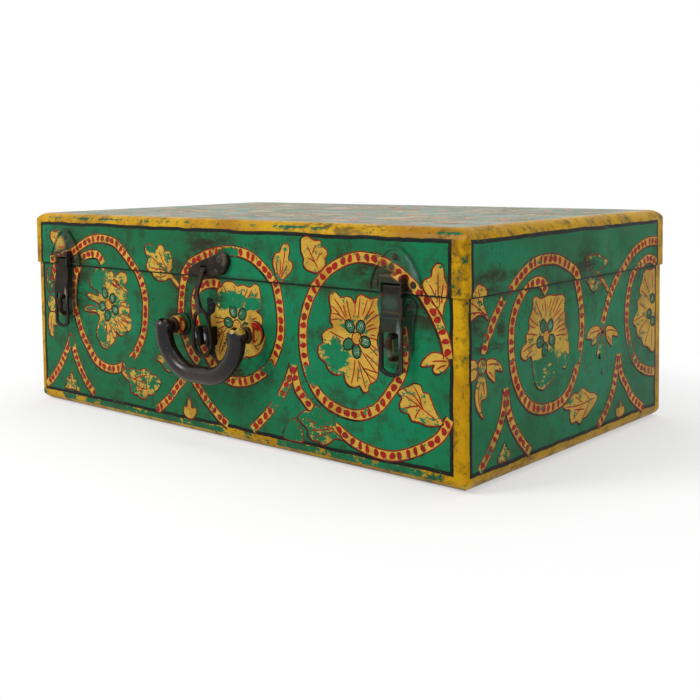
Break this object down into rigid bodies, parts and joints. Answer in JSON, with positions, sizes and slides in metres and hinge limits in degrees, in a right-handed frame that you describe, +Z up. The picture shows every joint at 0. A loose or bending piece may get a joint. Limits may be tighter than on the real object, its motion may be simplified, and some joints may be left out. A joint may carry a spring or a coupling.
{
  "type": "small tin trunk",
  "caption": "Shallow rectangular tin trunk with a hinged overhanging lid, front hasps with staples, and a drop handle.",
  "frame": {"origin": "middle of the flat underside of the base tray", "axes": "+X along the trunk's width, to the right seen from the front; -Y is the front with the hasps and the handle; +Z up"},
  "size_m": [0.456, 0.31, 0.166],
  "materials": {
    "painted_tin": "aged gloss paint over tin, with a hand-painted pattern",
    "strip_paint": "thin aged paint",
    "overpainted_iron": "worn paint over pressed iron",
    "post_paint": "paint worn to brown iron on the front",
    "handle_japan": "dark brown varnish over iron, worn smooth",
    "bright_steel": "rubbed bright steel",
    "dark_iron": "dark oxidised iron",
    "zinc_steel": "dull zinc",
    "worn_steel": "tarnished steel"
  },
  "bodies": {
    "base": {"base_shell": "painted_tin", "rim_strip_front": "strip_paint", "rim_strip_back": "strip_paint", "rim_strip_left": "strip_paint", "rim_strip_right": "strip_paint", "hinge_base_leaf_left": "worn_steel", "hinge_base_leaf_right": "worn_steel", "hinge_pin_left": "worn_steel", "hinge_pin_right": "worn_steel", "hinge_base_rivets": "worn_steel", "base_plate_left": "overpainted_iron", "base_plate_right": "overpainted_iron", "base_plate_rivets": "worn_steel", "staple_left": "dark_iron", "staple_right": "dark_iron", "keeper_centre": "bright_steel", "handle_post_left": "post_paint", "handle_post_right": "post_paint", "handle_pins": "worn_steel", "handle_backing_plates": "zinc_steel", "stay_stud": "zinc_steel"},
    "lid": {"lid_shell": "painted_tin", "hinge_lid_leaf_left": "worn_steel", "hinge_lid_leaf_right": "worn_steel", "hinge_lid_rivets": "worn_steel", "lid_plate_left": "overpainted_iron", "lid_plate_centre": "dark_iron", "lid_plate_right": "overpainted_iron", "hasp_pin_left": "worn_steel", "hasp_pin_centre": "worn_steel", "hasp_pin_right": "worn_steel", "lid_plate_rivets": "worn_steel", "stay_pivot": "zinc_steel"},
    "hasp_left": {"hasp_left": "overpainted_iron"},
    "hasp_centre": {"hasp_centre": "dark_iron"},
    "hasp_right": {"hasp_right": "overpainted_iron"},
    "handle": {"handle": "handle_japan"},
    "stay": {"stay_arm": "zinc_steel"}
  },
  "joints": [
    {"name": "lid_hinge", "type": "hinge", "parent": "base", "child": "lid", "pos_m": [0, 0.1429, 0.12235], "axis": [-1, 0, 0], "range_deg": [0, 100]},
    {"name": "hasp_left_swing", "type": "hinge", "parent": "lid", "child": "hasp_left", "pos_m": [-0.18244, -0.1428, 0.1265], "axis": [-1, 0, 0], "range_deg": [0, 90]},
    {"name": "hasp_centre_swing", "type": "hinge", "parent": "lid", "child": "hasp_centre", "pos_m": [-0.0053, -0.1422, 0.128], "axis": [-1, 0, 0], "range_deg": [0, 90]},
    {"name": "hasp_right_swing", "type": "hinge", "parent": "lid", "child": "hasp_right", "pos_m": [0.17324, -0.1428, 0.1265], "axis": [-1, 0, 0], "range_deg": [0, 90]},
    {"name": "handle_swing", "type": "hinge", "parent": "base", "child": "handle", "pos_m": [0.0045, -0.1575, 0.084], "axis": [-1, 0, 0], "range_deg": [0, 90]},
    {"name": "stay_swing", "type": "hinge", "parent": "lid", "child": "stay", "pos_m": [0.2206, 0.08708, 0.14435], "axis": [-1, 0, 0], "range_deg": [-50, 0]}
  ],
  "couplings": [
    {"joint": "stay_swing", "follows": "lid_hinge", "ratio": -0.5}
  ]
}
